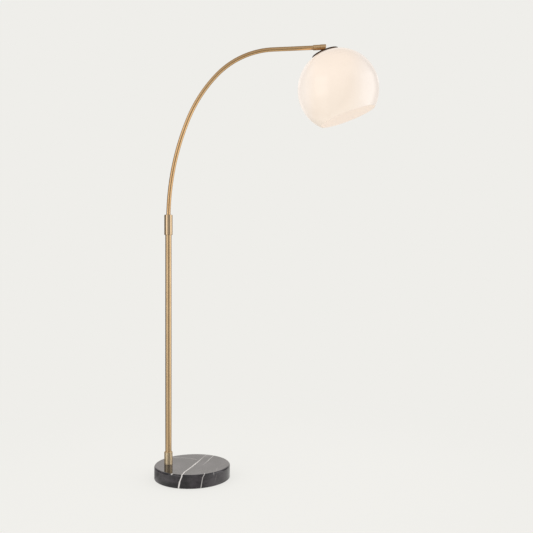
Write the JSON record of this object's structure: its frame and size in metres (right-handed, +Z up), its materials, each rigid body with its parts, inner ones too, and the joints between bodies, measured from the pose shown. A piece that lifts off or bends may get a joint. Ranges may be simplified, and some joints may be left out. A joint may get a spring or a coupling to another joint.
{
  "type": "arc floor lamp",
  "caption": "Arc floor lamp: an open opal glass globe hangs from a curved brass arm that slides and turns in a straight pole on a round stone base.",
  "frame": {"origin": "centre of the base's underside, on the floor", "axes": "+Z up, +X from the base's centre towards the globe, +Y to the back"},
  "size_m": [0.8342, 0.302, 1.6119],
  "materials": {
    "brass": "satin",
    "bronze": "dark bronzed",
    "stone": "polished black marble with white veins",
    "felt": "felt",
    "steel": "zinc plated",
    "nylon": "natural nylon",
    "black_plastic": "moulded",
    "wire_sheath": "extruded sheath",
    "silicone": "translucent silicone",
    "opal_glass": "satin opal, lit",
    "bulb_glass": "frosted",
    "ceramic": "unglazed"
  },
  "bodies": {
    "stand": {"floor_pad": "felt", "base_stone": "stone", "cord_gland": "black_plastic", "clamp_washer": "steel", "clamp_nut": "steel", "stem_tube": "steel", "foot_socket": "brass", "foot_grub_screw": "steel", "pole_tube": "brass", "arm_collet": "nylon", "base_wire": "wire_sheath", "slack_coil": "wire_sheath"},
    "collar": {"lock_collar": "brass"},
    "slider": {"guide_bush": "nylon"},
    "arm": {"arm_foot_plug": "brass", "arm_clip": "steel", "arm_tube": "brass", "arm_wire": "wire_sheath", "tip_sleeve": "brass", "tip_grub_screw": "steel", "knuckle_fork": "brass", "friction_washers": "nylon", "tilt_screw": "steel"},
    "head": {"tilt_stem": "brass", "shade_cap": "bronze", "cap_gasket": "silicone", "glass_globe": "opal_glass", "inner_gasket": "silicone", "clamp_disc": "steel", "shade_nut": "steel", "holder_shell": "black_plastic", "holder_core": "ceramic", "holder_thread": "brass", "holder_contact": "brass", "holder_wire": "wire_sheath", "bulb_glass": "bulb_glass", "bulb_screw_cap": "steel", "bulb_contact": "steel"}
  },
  "joints": [
    {"name": "collar_twist", "type": "hinge", "parent": "stand", "child": "collar", "pos_m": [-0.089, 0, 0.94], "axis": [0, 0, 1], "range_deg": [0, 120]},
    {"name": "arm_height", "type": "slide", "parent": "stand", "child": "slider", "axis": [0, 0, 1], "range_m": [0, 0.2], "deforming": ["slack_coil"]},
    {"name": "arm_swivel", "type": "hinge", "parent": "slider", "child": "arm", "pos_m": [-0.089, 0, 0.7], "axis": [0, 0, 1], "range_deg": [-45, 45]},
    {"name": "shade_tilt", "type": "hinge", "parent": "arm", "child": "head", "pos_m": [0.48698, 0, 1.60094], "axis": [0, -1, 0], "range_deg": [-19.5, 40]}
  ]
}
